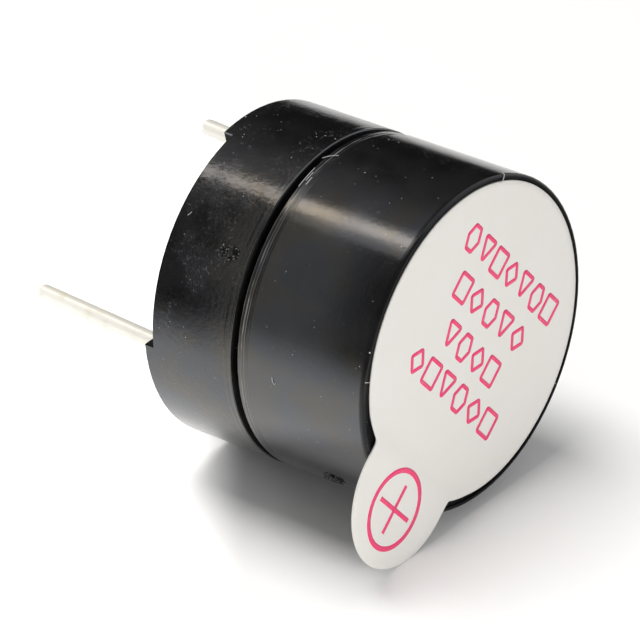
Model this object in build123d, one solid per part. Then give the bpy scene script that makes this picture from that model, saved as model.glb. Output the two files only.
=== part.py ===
from build123d import *
from math import cos, radians, sin, sqrt
import os

# Case. The pins point down and z = 0 is the seat on the customer's board.
CASE_RADIUS = 6.0
CASE_HEIGHT = 9.5
SEAM_HEIGHT = 3.8
SEAM_GAP = 0.26
EDGE_ROUND = 0.05
RIM_ROUND = 0.12
SKIRT_HEIGHT = 0.45
SKIRT_STEP = 0.03

# Standoffs on the rear rim, one round each pin
STANDOFF_HEIGHT = 0.4
STANDOFF_ARC = 100.0

# Top face and sound hole
RIM_WIDTH = 0.18
TOP_SINK = 0.1
ROOF_THICKNESS = 0.9
SOUND_HOLE_RADIUS = 1.1
SOUND_HOLE_ROUND = 0.15
CAVITY_ROUND = 0.4

# Walls of the two shells
SKIRT_WALL = 0.6
CAVITY_WALL = 1.1
BASE_WALL = 0.7
SPIGOT_CLEARANCE = 0.04
SPIGOT_WALL = 0.66
WEB_UNDERSIDE = 2.35
WEB_THICKNESS = 0.8

# Diaphragm, on a ledge inside the spigot's lip
LEDGE_HEIGHT = 6.45
LIP_WIDTH = 0.21
LIP_HEIGHT = 0.2
DIAPHRAGM_THICKNESS = 0.06
DIAPHRAGM_CLEARANCE = 0.05
WEIGHT_RADIUS = 1.6
WEIGHT_THICKNESS = 0.5
WEIGHT_ROUND = 0.1

# Drive
YOKE_THICKNESS = 0.8
YOKE_CLEARANCE = 0.05
POLE_RADIUS = 1.0
POLE_AIR_GAP = 0.3
POLE_ROUND = 0.08
COIL_CLEARANCE = 0.04
COIL_AIR_GAP = 0.6
COIL_ROUND = 0.15
MAGNET_BORE_SHARE = 0.7
MAGNET_CLEARANCE = 0.1
MAGNET_AIR_GAP = 0.55
MAGNET_TO_COIL = 0.4
MAGNET_ROUND = 0.1

# Circuit board and copper
BOARD_THICKNESS = 0.6
BOARD_CLEARANCE = 0.05
COPPER_THICKNESS = 0.035
TRACK_WIDTH = 0.3
LEAD_PAD_RADIUS = 0.42
CHIP_PAD_WIDTH = 0.9
POTTING_DEPTH = 1.15

# Pins
PIN_PITCH = 7.6
PIN_RADIUS = 0.3
PIN_HOLE_CLEARANCE = 0.05
PIN_HEAD_RADIUS = 0.5
PIN_HEAD_THICKNESS = 0.25
PIN_HEAD_ROOM = 0.1
PIN_TIP_ROUND = 0.22
PIN_BEND_HEIGHT = 0.4
PIN_BEND_RADIUS = 2.0
PIN_LEAN = 2.9
POSITIVE_LENGTH = 8.67
NEGATIVE_LENGTH = 4.53
PIN_SOLDER_WIDTH = 0.38
PIN_SOLDER_HEIGHT = 0.5

# Coil leads, through one slot in the yoke, the web and the board
WIRE_RADIUS = 0.06
WIRE_PITCH = 0.7
WIRE_TAIL = 1.0
WIRE_BEND_RADIUS = 0.25
SLOT_FROM_COIL = 0.2
SLOT_WIDTH = 0.7
SLOT_LENGTH = 2.2
LEAD_PAD_INSET = 1.05
LEAD_PAD_PITCH = 1.1
LEAD_SOLDER_RADIUS = 0.36
LEAD_SOLDER_HEIGHT = 0.26

# Transistor
TRANSISTOR_X = 0.0
TRANSISTOR_Y = 0.9
TRANSISTOR_LENGTH = 2.9
TRANSISTOR_WIDTH = 1.3
TRANSISTOR_HEIGHT = 0.9
TRANSISTOR_LIFT = 0.08
TRANSISTOR_BEVEL = 0.1
FOOT_SPREAD = 2.4
FOOT_PITCH = 1.9
FOOT_WIDTH = 0.4
FOOT_LENGTH = 0.35
FOOT_THICKNESS = 0.12
FOOT_SHOULDER = 0.45

# Resistor
RESISTOR_X = 0.95
RESISTOR_Y = -1.85
RESISTOR_LENGTH = 1.6
RESISTOR_WIDTH = 0.8
RESISTOR_HEIGHT = 0.45
CAP_LENGTH = 0.3
CAP_THICKNESS = 0.03

# Seal label, turned a little from the pin line
LABEL_CLEARANCE = 0.07
LABEL_THICKNESS = 0.07
LABEL_TURN = 78.5
SHOULDER_INSET = 0.83
SHOULDER_ANGLE = 65.0
TAB_RADIUS = 2.78
TAB_OVERHANG = 2.33
NECK_ROUND = 0.35
TAB_RISE_INSET = 0.82
TAB_RISE_LENGTH = 0.8

# Gate marks
GATE_RADIUS = 0.3
GATE_HEIGHT = 0.04
LOWER_GATE_ANGLE = 0.0
LOWER_GATE_Z = 2.89
UPPER_GATE_ANGLE = 77.0
UPPER_GATE_Z = 7.0

# Heights and radii that follow from the values above
UPPER_FOOT = SEAM_HEIGHT + SEAM_GAP
SEAT_OF_LABEL = CASE_HEIGHT - TOP_SINK
SHOULDER_HEIGHT = LEDGE_HEIGHT + LIP_HEIGHT
SKIRT_BORE = CASE_RADIUS - SKIRT_WALL
SPIGOT_RADIUS = SKIRT_BORE - SPIGOT_CLEARANCE
SPIGOT_BORE = SPIGOT_RADIUS - SPIGOT_WALL
BASE_BORE = CASE_RADIUS - BASE_WALL
WEB_TOP = WEB_UNDERSIDE + WEB_THICKNESS
YOKE_TOP = WEB_TOP + YOKE_THICKNESS
MAGNET_TOP = LEDGE_HEIGHT - MAGNET_AIR_GAP
COIL_TOP = LEDGE_HEIGHT - COIL_AIR_GAP
YOKE_RADIUS = SPIGOT_BORE - YOKE_CLEARANCE
MAGNET_RADIUS = SPIGOT_BORE - MAGNET_CLEARANCE
MAGNET_BORE_RADIUS = MAGNET_BORE_SHARE * MAGNET_RADIUS
COIL_RADIUS = MAGNET_BORE_RADIUS - MAGNET_TO_COIL
SLOT_RADIUS = COIL_RADIUS + SLOT_FROM_COIL
DIAPHRAGM_RADIUS = SPIGOT_RADIUS - LIP_WIDTH - DIAPHRAGM_CLEARANCE
DIAPHRAGM_TOP = LEDGE_HEIGHT + DIAPHRAGM_THICKNESS
BOARD_UNDERSIDE = WEB_UNDERSIDE - BOARD_THICKNESS
COPPER_UNDERSIDE = BOARD_UNDERSIDE - COPPER_THICKNESS
BOARD_RADIUS = BASE_BORE - BOARD_CLEARANCE
LEAD_PAD_X = BOARD_RADIUS - LEAD_PAD_INSET
PIN_HOLE_RADIUS = PIN_RADIUS + PIN_HOLE_CLEARANCE
PIN_Y = PIN_PITCH / 2
LABEL_RADIUS = CASE_RADIUS - RIM_WIDTH - LABEL_CLEARANCE
SHOULDER_RADIUS = LABEL_RADIUS - SHOULDER_INSET
TAB_REACH = CASE_RADIUS + TAB_OVERHANG
TAB_CENTRE = TAB_REACH - TAB_RADIUS
TAB_RISE_END = CASE_RADIUS - RIM_WIDTH - TAB_RISE_INSET
TAB_RISE_START = TAB_RISE_END - TAB_RISE_LENGTH


def disc(radius, bottom, top):
    """Cylinder on the case axis between two heights."""
    return Pos(0, 0, (bottom + top) / 2) * Cylinder(radius, top - bottom)


def turned(corners, arc=360.0):
    """Solid turned about the case axis from (radius, height, round) corners."""
    points = [(radius, height) for radius, height, _ in corners]
    rounds = [corner[-1] for corner in corners]
    outline = FilletPolyline(*points, radius=rounds, close=True)
    return revolve(Plane.XZ * make_face(outline), Axis.Z, arc)


def rounded_ring(radius, bore, bottom, top, edge):
    """Ring with its four edges rounded alike."""
    return turned([(bore, bottom, edge), (radius, bottom, edge), (radius, top, edge), (bore, top, edge)])


def at_pins(shape):
    """The same shape at both pins."""
    return Pos(0, PIN_Y, 0) * shape + Pos(0, -PIN_Y, 0) * shape


def lead_slot(bottom, top):
    """Cutter for the slot that the coil leads pass through."""
    return Pos(SLOT_RADIUS, 0, (bottom + top) / 2) * Box(SLOT_WIDTH, SLOT_LENGTH, top - bottom)


def gate_mark(angle, height):
    """Low round stub that the moulding gate leaves on the side of a shell."""
    depth = GATE_HEIGHT + SKIRT_WALL / 2
    stub = Pos(CASE_RADIUS + GATE_HEIGHT - depth / 2, 0, height) * Rot(Y=90) * Cylinder(GATE_RADIUS, depth)
    return Rot(Z=angle) * stub


def upper_shell():
    """Cup with a sunk top face inside a narrow rim, a sound hole and a step that holds the diaphragm."""
    band_top = UPPER_FOOT + SKIRT_HEIGHT
    cup = turned([
        (SKIRT_BORE, UPPER_FOOT, 0),
        (CASE_RADIUS - SKIRT_STEP, UPPER_FOOT, EDGE_ROUND),
        (CASE_RADIUS - SKIRT_STEP, band_top, 0),
        (CASE_RADIUS, band_top, 0),
        (CASE_RADIUS, CASE_HEIGHT, RIM_ROUND),
        (CASE_RADIUS - RIM_WIDTH, CASE_HEIGHT, 0),
        (CASE_RADIUS - RIM_WIDTH, SEAT_OF_LABEL, 0),
        (SOUND_HOLE_RADIUS, SEAT_OF_LABEL, SOUND_HOLE_ROUND),
        (SOUND_HOLE_RADIUS, SEAT_OF_LABEL - ROOF_THICKNESS, SOUND_HOLE_ROUND),
        (CASE_RADIUS - CAVITY_WALL, SEAT_OF_LABEL - ROOF_THICKNESS, CAVITY_ROUND),
        (CASE_RADIUS - CAVITY_WALL, SHOULDER_HEIGHT, 0),
        (SKIRT_BORE, SHOULDER_HEIGHT, 0),
    ])
    return cup + gate_mark(UPPER_GATE_ANGLE, UPPER_GATE_Z)


def rim_relief():
    """Cutter that takes the rear rim back from the seat on both sides of the pin line."""
    reach = CASE_RADIUS + EDGE_ROUND
    corners = [(0, -EDGE_ROUND), (reach, -EDGE_ROUND), (reach, STANDOFF_HEIGHT), (0, STANDOFF_HEIGHT)]
    arc = 180 - STANDOFF_ARC
    wedge = turned([(*corner, 0) for corner in corners], arc)
    return Rot(Z=-arc / 2) * wedge + Rot(Z=180 - arc / 2) * wedge


def lower_shell():
    """Base with a web for the drive above it and the board below it, and a spigot into the upper shell."""
    base = turned([
        (BASE_BORE, 0, 0),
        (CASE_RADIUS, 0, EDGE_ROUND),
        (CASE_RADIUS, SEAM_HEIGHT, EDGE_ROUND),
        (SPIGOT_RADIUS, SEAM_HEIGHT, 0),
        (SPIGOT_RADIUS, SHOULDER_HEIGHT, 0),
        (SPIGOT_RADIUS - LIP_WIDTH, SHOULDER_HEIGHT, 0),
        (SPIGOT_RADIUS - LIP_WIDTH, LEDGE_HEIGHT, 0),
        (SPIGOT_BORE, LEDGE_HEIGHT, 0),
        (SPIGOT_BORE, WEB_TOP, 0),
        (0, WEB_TOP, 0),
        (0, WEB_UNDERSIDE, 0),
        (BASE_BORE, WEB_UNDERSIDE, 0),
    ])
    shell = base - rim_relief() + gate_mark(LOWER_GATE_ANGLE, LOWER_GATE_Z)
    pocket_top = WEB_UNDERSIDE + PIN_HEAD_THICKNESS + PIN_HEAD_ROOM
    pocket = disc(PIN_HEAD_RADIUS + PIN_HEAD_ROOM, WEB_UNDERSIDE, pocket_top)
    return shell - at_pins(pocket) - lead_slot(WEB_UNDERSIDE, WEB_TOP)


def diaphragm():
    return disc(DIAPHRAGM_RADIUS, LEDGE_HEIGHT, DIAPHRAGM_TOP)


def diaphragm_weight():
    weight = disc(WEIGHT_RADIUS, DIAPHRAGM_TOP, DIAPHRAGM_TOP + WEIGHT_THICKNESS)
    return fillet(weight.edges().group_by(Axis.Z)[-1], WEIGHT_ROUND)


def yoke_plate():
    """Round plate with a hole for the pole and a slot for the coil leads."""
    plate = disc(YOKE_RADIUS, WEB_TOP, YOKE_TOP)
    return plate - disc(POLE_RADIUS, WEB_TOP, YOKE_TOP) - lead_slot(WEB_TOP, YOKE_TOP)


def core_pole():
    pole = disc(POLE_RADIUS, WEB_TOP, LEDGE_HEIGHT - POLE_AIR_GAP)
    return fillet(pole.edges().group_by(Axis.Z)[-1], POLE_ROUND)


def coil():
    return rounded_ring(COIL_RADIUS, POLE_RADIUS + COIL_CLEARANCE, YOKE_TOP, COIL_TOP, COIL_ROUND)


def ring_magnet():
    return rounded_ring(MAGNET_RADIUS, MAGNET_BORE_RADIUS, YOKE_TOP, MAGNET_TOP, MAGNET_ROUND)


def circuit_board():
    """Round board under the web, with two pin holes and the lead slot."""
    board = disc(BOARD_RADIUS, BOARD_UNDERSIDE, WEB_UNDERSIDE)
    hole = disc(PIN_HOLE_RADIUS, BOARD_UNDERSIDE, WEB_UNDERSIDE)
    return board - at_pins(hole) - lead_slot(BOARD_UNDERSIDE, WEB_UNDERSIDE)


def foot_points():
    """Collector, base and emitter feet of the transistor: x, y and the side they leave from."""
    reach = (FOOT_SPREAD - FOOT_LENGTH) / 2
    return [
        (TRANSISTOR_X, TRANSISTOR_Y + reach, 1),
        (TRANSISTOR_X + FOOT_PITCH / 2, TRANSISTOR_Y - reach, -1),
        (TRANSISTOR_X - FOOT_PITCH / 2, TRANSISTOR_Y - reach, -1),
    ]


def copper_tracks():
    """Five nets on the underside of the board, with their pads."""
    collector, base, emitter = [(x, y) for x, y, _ in foot_points()]
    cap_offset = (RESISTOR_LENGTH - CAP_LENGTH) / 2
    base_cap = (RESISTOR_X, RESISTOR_Y + cap_offset)
    feed_cap = (RESISTOR_X, RESISTOR_Y - cap_offset)
    supply_pad, drive_pad, feed_pad = [(LEAD_PAD_X, y) for y in (LEAD_PAD_PITCH, 0, -LEAD_PAD_PITCH)]
    inner_lane = SLOT_RADIUS + SLOT_WIDTH
    outer_lane = LEAD_PAD_X - LEAD_PAD_PITCH
    nets = [
        [(0, PIN_Y), (outer_lane, PIN_Y), (LEAD_PAD_X, 2 * LEAD_PAD_PITCH), supply_pad],
        [drive_pad, (inner_lane, 0), (inner_lane, collector[1]), collector],
        [base, base_cap],
        [feed_cap, (inner_lane, feed_cap[1]), (LEAD_PAD_X, -LEAD_PAD_PITCH - TRACK_WIDTH), feed_pad],
        [emitter, (emitter[0], -PIN_Y), (0, -PIN_Y)],
    ]
    copper = Sketch() + [trace(Polyline(*net), TRACK_WIDTH) for net in nets]
    copper += [Pos(*spot) * Circle(LEAD_PAD_RADIUS) for spot in (supply_pad, drive_pad, feed_pad)]
    chip_pad = Rectangle(FOOT_WIDTH + COPPER_THICKNESS, CHIP_PAD_WIDTH)
    copper += [Pos(*spot) * chip_pad for spot in (collector, base, emitter)]
    cap_pad = Rectangle(CHIP_PAD_WIDTH, FOOT_WIDTH)
    copper += [Pos(*spot) * cap_pad for spot in (base_cap, feed_cap)]
    for side in (PIN_Y, -PIN_Y):
        copper += Pos(0, side) * Circle(PIN_RADIUS + PIN_SOLDER_WIDTH + PIN_HOLE_CLEARANCE)
        copper -= Pos(0, side) * Circle(PIN_HOLE_RADIUS)
    return Pos(0, 0, COPPER_UNDERSIDE) * extrude(copper, COPPER_THICKNESS)


def under_board(x, y):
    """Place for a chip that stands on the copper, upside down."""
    return Pos(x, y, COPPER_UNDERSIDE) * Rot(X=180)


def transistor_body():
    block = Box(TRANSISTOR_LENGTH, TRANSISTOR_WIDTH, TRANSISTOR_HEIGHT)
    body = Pos(Z=TRANSISTOR_LIFT + TRANSISTOR_HEIGHT / 2) * block
    body = chamfer(body.edges().filter_by(Axis.Z, reverse=True).group_by(Axis.Z)[-1], TRANSISTOR_BEVEL)
    return under_board(TRANSISTOR_X, TRANSISTOR_Y) * body


def transistor_leads():
    """Three bent feet, each from the middle of the body's side down to its pad."""
    wall = TRANSISTOR_WIDTH / 2
    tip = FOOT_SPREAD / 2
    heel = tip - FOOT_LENGTH
    side = [
        (wall, FOOT_SHOULDER),
        (heel, FOOT_SHOULDER),
        (heel, 0),
        (tip, 0),
        (tip, FOOT_THICKNESS),
        (heel + FOOT_THICKNESS, FOOT_THICKNESS),
        (heel + FOOT_THICKNESS, FOOT_SHOULDER + FOOT_THICKNESS),
        (wall, FOOT_SHOULDER + FOOT_THICKNESS),
    ]
    foot = extrude(Plane.YZ * make_face(Polyline(*side, close=True)), FOOT_WIDTH / 2, both=True)
    feet = [under_board(x, TRANSISTOR_Y) * Rot(Z=90 + 90 * way) * foot for x, _, way in foot_points()]
    return Part() + feet


def resistor_core():
    """Ceramic chip without its end caps, standing on the plane z = 0."""
    core = Box(
        RESISTOR_WIDTH - 2 * CAP_THICKNESS,
        RESISTOR_LENGTH - 2 * CAP_THICKNESS,
        RESISTOR_HEIGHT - 2 * CAP_THICKNESS,
    )
    return Pos(Z=RESISTOR_HEIGHT / 2) * core


def resistor_body():
    return under_board(RESISTOR_X, RESISTOR_Y) * resistor_core()


def resistor_caps():
    """Two metal caps that wrap the ends of the chip."""
    cap = Box(RESISTOR_WIDTH, CAP_LENGTH, RESISTOR_HEIGHT)
    offset = (RESISTOR_LENGTH - CAP_LENGTH) / 2
    caps = Pos(0, offset, RESISTOR_HEIGHT / 2) * cap + Pos(0, -offset, RESISTOR_HEIGHT / 2) * cap
    return under_board(RESISTOR_X, RESISTOR_Y) * (caps - resistor_core())


def lead_path(side):
    """Way of one coil lead from the winding through the slot to its pad."""
    y = side * WIRE_PITCH
    pad_y = side * LEAD_PAD_PITCH
    start_radius = COIL_RADIUS + WIRE_RADIUS
    start_x = sqrt(start_radius ** 2 - y ** 2)
    return FilletPolyline(
        (start_x, y, YOKE_TOP + WIRE_TAIL),
        (SLOT_RADIUS, y, YOKE_TOP),
        (SLOT_RADIUS, y, BOARD_UNDERSIDE),
        ((SLOT_RADIUS + LEAD_PAD_X) / 2, (y + pad_y) / 2, COPPER_UNDERSIDE - LEAD_SOLDER_HEIGHT / 2),
        (LEAD_PAD_X, pad_y, COPPER_UNDERSIDE - WIRE_RADIUS),
        radius=WIRE_BEND_RADIUS,
    )


def coil_leads():
    leads = []
    for side in (-1, 0, 1):
        path = lead_path(side)
        leads.append(sweep(Plane(path @ 0, z_dir=path % 0) * Circle(WIRE_RADIUS), path))
    return Part() + leads


def lead_solder():
    """Low domes that bury the ends of the coil leads."""
    ball_radius = (LEAD_SOLDER_RADIUS ** 2 + LEAD_SOLDER_HEIGHT ** 2) / (2 * LEAD_SOLDER_HEIGHT)
    ball = Pos(Z=COPPER_UNDERSIDE - LEAD_SOLDER_HEIGHT + ball_radius) * Sphere(ball_radius)
    dome = ball - disc(CASE_RADIUS, COPPER_UNDERSIDE, COPPER_UNDERSIDE + 2 * ball_radius)
    domes = [Pos(LEAD_PAD_X, side * LEAD_PAD_PITCH, 0) * dome for side in (-1, 0, 1)]
    return Part() + domes - coil_leads()


def pin(side, length):
    """Headed pin, straight through the board and then leaning; side is +1 or -1 along Y."""
    y = side * PIN_Y
    lean = radians(PIN_LEAN)
    tip = (0, y - length * sin(lean), PIN_BEND_HEIGHT - length * cos(lean))
    path = FilletPolyline((0, y, WEB_UNDERSIDE), (0, y, PIN_BEND_HEIGHT), tip, radius=PIN_BEND_RADIUS)
    shank = sweep(Plane(path @ 0, z_dir=path % 0) * Circle(PIN_RADIUS), path)
    shank = fillet(shank.edges().group_by(Axis.Z)[0], PIN_TIP_ROUND)
    return shank + Pos(0, y, 0) * disc(PIN_HEAD_RADIUS, WEB_UNDERSIDE, WEB_UNDERSIDE + PIN_HEAD_THICKNESS)


def positive_pin():
    return pin(1, POSITIVE_LENGTH)


def negative_pin():
    return pin(-1, NEGATIVE_LENGTH)


def solder_cone():
    """Hollow-sided cone below the copper, without a hole for the pin."""
    foot_radius = PIN_RADIUS + PIN_SOLDER_WIDTH
    tip_height = COPPER_UNDERSIDE - PIN_SOLDER_HEIGHT
    outline = TangentArc((PIN_RADIUS, tip_height), (foot_radius, COPPER_UNDERSIDE), tangent=(0, 1))
    outline += Polyline(
        (foot_radius, COPPER_UNDERSIDE),
        (0, COPPER_UNDERSIDE),
        (0, tip_height),
        (PIN_RADIUS, tip_height),
    )
    return revolve(Plane.XZ * make_face(outline), Axis.Z)


def pin_solder():
    """Joint at each pin: a sleeve through the board and a cone below it."""
    joint = solder_cone() + disc(PIN_HOLE_RADIUS, COPPER_UNDERSIDE, WEB_UNDERSIDE)
    return at_pins(joint - disc(PIN_RADIUS, COPPER_UNDERSIDE - PIN_SOLDER_HEIGHT, WEB_UNDERSIDE))


def potting():
    """Poured seal that fills the base below the board, round everything that hangs there."""
    bottom = BOARD_UNDERSIDE - POTTING_DEPTH
    fill = disc(BASE_BORE, bottom, BOARD_UNDERSIDE)
    buried = [
        copper_tracks(),
        lead_solder(),
        coil_leads(),
        at_pins(solder_cone()),
        at_pins(disc(PIN_HOLE_RADIUS, COPPER_UNDERSIDE, BOARD_UNDERSIDE)),
        at_pins(disc(PIN_RADIUS, bottom, COPPER_UNDERSIDE - PIN_SOLDER_HEIGHT)),
        transistor_body(),
        transistor_leads(),
        resistor_caps(),
        resistor_body(),
    ]
    for shape in buried:
        for solid in shape.solids():
            fill -= solid
    return fill


def label_outline():
    """Disc with drawn-in shoulders and a round tab; the tab points along +X."""
    offset = LABEL_RADIUS - SHOULDER_RADIUS
    centre_x = offset * cos(radians(SHOULDER_ANGLE))
    centre_y = offset * sin(radians(SHOULDER_ANGLE))
    neck_x = centre_x + sqrt(SHOULDER_RADIUS ** 2 - (TAB_RADIUS - centre_y) ** 2)
    shoulder_end = (neck_x, TAB_RADIUS)
    upper = TangentArc(
        (LABEL_RADIUS * cos(radians(SHOULDER_ANGLE)), LABEL_RADIUS * sin(radians(SHOULDER_ANGLE))),
        shoulder_end,
        tangent=(sin(radians(SHOULDER_ANGLE)), -cos(radians(SHOULDER_ANGLE))),
    )
    flank = Line(shoulder_end, (TAB_CENTRE, TAB_RADIUS))
    half = upper + flank
    wires = half + mirror(half, Plane.XZ)
    wires += CenterArc((0, 0), LABEL_RADIUS, SHOULDER_ANGLE, 360 - 2 * SHOULDER_ANGLE)
    wires += CenterArc((TAB_CENTRE, 0), TAB_RADIUS, -90, 180)
    outline = make_face(wires)
    necks = outline.vertices().filter_by(lambda v: abs(v.X - neck_x) < NECK_ROUND / 10)
    return fillet(necks, NECK_ROUND)


def label_sheet():
    """Thin sheet that lies in the sunk top face and steps up onto the rim under the tab."""
    far = CASE_RADIUS + TAB_REACH
    low = SEAT_OF_LABEL
    high = CASE_HEIGHT
    rise = Spline((TAB_RISE_START, low), (TAB_RISE_END, high), tangents=((1, 0), (1, 0)))
    under = Line((-far, low), (TAB_RISE_START, low)) + rise + Line((TAB_RISE_END, high), (far, high))
    over = Pos(0, LABEL_THICKNESS) * under
    ends = Line((-far, low), (-far, low + LABEL_THICKNESS)) + Line((far, high), (far, high + LABEL_THICKNESS))
    section = make_face(under + over + ends)
    return extrude(Plane.XZ * section, CASE_RADIUS, both=True)


def seal_label():
    """Film with a pull tab, glued over the sound hole."""
    blank = Pos(0, 0, SEAT_OF_LABEL) * extrude(label_outline(), TOP_SINK + 2 * LABEL_THICKNESS)
    return Rot(Z=LABEL_TURN) * (blank & label_sheet())


NODES = [
    upper_shell, lower_shell, seal_label, diaphragm, diaphragm_weight, ring_magnet, coil, core_pole,
    yoke_plate, circuit_board, copper_tracks, transistor_body, transistor_leads, resistor_body,
    resistor_caps, coil_leads, lead_solder, positive_pin, negative_pin, pin_solder, potting,
]


def main():
    os.makedirs("parts", exist_ok=True)
    for node in NODES:
        export_step(node(), f"parts/{node.__name__}.step")


if __name__ == "__main__":
    main()
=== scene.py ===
from math import atan2, cos, pi, radians, sin, sqrt, tau

import bpy
from bpy.props import FloatProperty, FloatVectorProperty, IntProperty, PointerProperty
from mathutils import Matrix, Vector, noise


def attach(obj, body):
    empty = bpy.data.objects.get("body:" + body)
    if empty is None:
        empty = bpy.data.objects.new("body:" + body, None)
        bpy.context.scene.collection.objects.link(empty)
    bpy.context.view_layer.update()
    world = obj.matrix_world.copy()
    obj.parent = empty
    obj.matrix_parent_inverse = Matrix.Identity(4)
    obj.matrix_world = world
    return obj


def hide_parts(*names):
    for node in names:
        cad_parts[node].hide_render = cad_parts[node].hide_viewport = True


bl_info = {
    "name": "Round Buzzer",
    "version": (1, 0, 0),
    "blender": (4, 5, 0),
    "location": "View3D > Sidebar > Buzzer",
    "description": "Finishes, print, wear and studio for a round circuit-board buzzer with a peel-off seal",
    "category": "Object",
}

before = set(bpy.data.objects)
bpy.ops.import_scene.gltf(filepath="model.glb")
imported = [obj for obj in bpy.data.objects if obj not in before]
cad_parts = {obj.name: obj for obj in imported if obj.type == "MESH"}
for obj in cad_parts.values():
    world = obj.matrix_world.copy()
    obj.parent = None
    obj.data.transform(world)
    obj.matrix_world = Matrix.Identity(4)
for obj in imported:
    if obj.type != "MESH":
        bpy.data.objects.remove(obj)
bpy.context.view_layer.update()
MM = 0.001

# Sizes and places of the solids, in millimetres and radians
CASE_RADIUS = 6.0
CASE_TOP = 9.5
CASE_MIDDLE = Vector((0.0, 0.0, 4.75))
SEAM_BOTTOM = 3.8
SEAM_TOP = 4.06
LABEL_SEAT = 9.4
LABEL_TURN = radians(78.5)
LABEL_RADIUS = 5.75
LABEL_THICKNESS = 0.07
SHOULDER_RADIUS = 4.92
SHOULDER_ANGLE = radians(65.0)
TAB_RADIUS = 2.78
TAB_CENTRE = 5.55
TAB_RISE = (4.2, 5.0)
COIL_TOP = 5.85
COIL_FOOT = 3.95
COIL_RADIUS = 2.82
COIL_BORE = 1.04

# How rough the moulded skin of each shell is, from 0 to 1
UPPER_SKIN = 0.15
LOWER_SKIN = 1.0

# Heights between which the shells show turned lines, and over which the rim round the label loses its shine
# and reads dark, a painted shade, in millimetres
TURNED_BELOW_SEAM = (SEAM_BOTTOM - 0.3, SEAM_BOTTOM)
TURNED_ABOVE_SEAM = (SEAM_TOP, 4.51)
DARK_RIM = (CASE_TOP - 0.26, CASE_TOP - 0.16)

# How far off the axis the label was stuck on, how softly its shoulder turns and how uneven it lies
LABEL_SHIFT = Vector((-0.041, -0.028, 0.0))
SHOULDER_SOFTNESS = 0.22
LABEL_WAVE = 0.012

# Printed rows: distance from the case axis, shift across, length and the shape of each mark
MARK_ROWS = [
    (1.79, 0.13, 6.7, (0, 2, 1, 3, 0, 2)),
    (0.33, 0.06, 4.25, (1, 3, 0, 2)),
    (-1.20, 0.03, 5.5, (2, 0, 3, 1, 0)),
    (-2.74, 0.11, 7.15, (3, 1, 2, 0, 1, 3, 2)),
]
MARK_SHARE_OF_PITCH = 0.72
MARK_CORNER = 0.07

# Plus and ring: middle, length of both strokes and their width against that of the rows
RING_PLACE = (6.27, 0.0)
PLUS_LENGTHS = (1.81, 2.1)
PLUS_STROKE_SHARE = 1.1

# Torn gates: piece, angle in degrees, height in millimetres and the seed of the tear
GATE_SCARS = [("lower_gate_scar", 0.0, 2.89, 1.7), ("upper_gate_scar", 77.0, 7.0, 8.3)]

# Strewn dust: piece, the heights it lies between in millimetres and what it adds to the seed
DUST_BANDS = [("lower_dust", 0.6, SEAM_BOTTOM - 0.1, 0), ("upper_dust", 4.6, 9.2, 1)]
DUST_PER_SQUARE_MM = 0.55

# Clinging fibres: angle in degrees, height and distance from the axis at each point
FIBRES = [
    [(-43.0, 4.03, 6.01), (-43.6, 4.1, 6.03), (-44.6, 4.2, 6.04), (-45.8, 4.32, 6.03), (-46.6, 4.44, 6.01)],
    [(-70.2, 9.5, 5.72), (-70.5, 9.53, 5.86), (-70.9, 9.51, 6.0), (-71.0, 9.42, 6.03)],
    [(24.9, 9.5, 5.74), (24.6, 9.53, 5.9), (24.5, 9.48, 6.0)],
    [(34.4, 5.6, 6.01), (35.9, 5.63, 6.02), (36.7, 5.7, 6.02), (36.0, 5.76, 6.01)],
    [(-8.6, 0.86, 5.995), (-7.8, 0.83, 5.995), (-7.0, 0.76, 5.995)],
]
FIBRE_RADIUS = 0.012

# Short grains, by angle in degrees and height, and pale strands beside the seam that paint glints on its
# edge, by two angles and a height
GRAINS = [(24.0, 6.4), (-54.0, 2.87), (-39.0, 3.03), (-67.5, 5.3), (-41.8, 0.75)]
SEAM_GLINTS = [(-38.0, -29.0, 4.115), (-36.0, -32.0, 4.2), (-34.0, -30.5, 4.31)]

# Camera and floor, as directions and a place in millimetres
CAMERA_RIGHT = Vector((-0.51691, -0.34908, 0.78163))
CAMERA_UP = Vector((0.20307, -0.93702, -0.28418))
CAMERA_BACK = Vector((0.8316, 0.01183, 0.55524))
CAMERA_PLACE = Vector((170.915, 3.409, 117.409))
SENSOR_WIDTH = 36
FLOOR_UP = Vector((0.60555, -0.79448, 0.04564))
FLOOR_SIZE = 600

# The glow is painted light: it grows toward the pins' side of the floor and washes out their shadow there.
# Glow of the floor: where along it the glow starts and is full, how strong it is there, and its strength
# in reflections
GLOW_PLACES = (-0.2, -2.7)
GLOW_STRENGTHS = (0.01, 0.5)
MIRRORED_GLOW = 0.02

# The cards are seen only in reflections, where they paint dark and glowing reflections on the case.
# Flat cards: direction from the middle of the case, distance, width and height in millimetres
HIGH_CARD = (Vector((-0.1587, -0.8165, -0.555)), 130, 210, 90)
CAMERA_CARD = (CAMERA_BACK, 235, 480, 480)
HIGH_CARD_GLOW = 0.38

# Bent cards: distance from the case axis, and for each its angles in degrees and its heights
CARD_BEND = 16
SIDE_CARD = ((-29, 66), (-9.5, 14.0))
LOW_CARD = ((-36.5, -29), (-9.5, -2.75))

# Side card: its glow, the heights over which its foot and head fade, the angles over which it clears,
# and how much later it clears over the last heights
SIDE_CARD_GLOW = 0.42
FOOT_FADE = (-4.9, -3.4)
HEAD_FADE = (3.0, -0.2)
CLEARING = (radians(22), radians(58))
LATE_CLEARING = (-3.0, -4.8, 0.0, radians(8))

# Lamps: direction from the middle of the case, distance, width, height and colour
STRIP_LAMP = (Vector((0.5717, -0.6043, -0.555)), 150, 18, 70, (1, 0.88, 0.73))
KEY_LAMP = (Vector((0.61, -0.76, -0.22)), 190, 110, 110, (1, 0.99, 0.97))
FILL_LAMP = (Vector((0.35, 0.15, 0.92)), 70, 40, 40, (1, 1, 1))


# ---------------------------------------------------------------- settings

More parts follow.
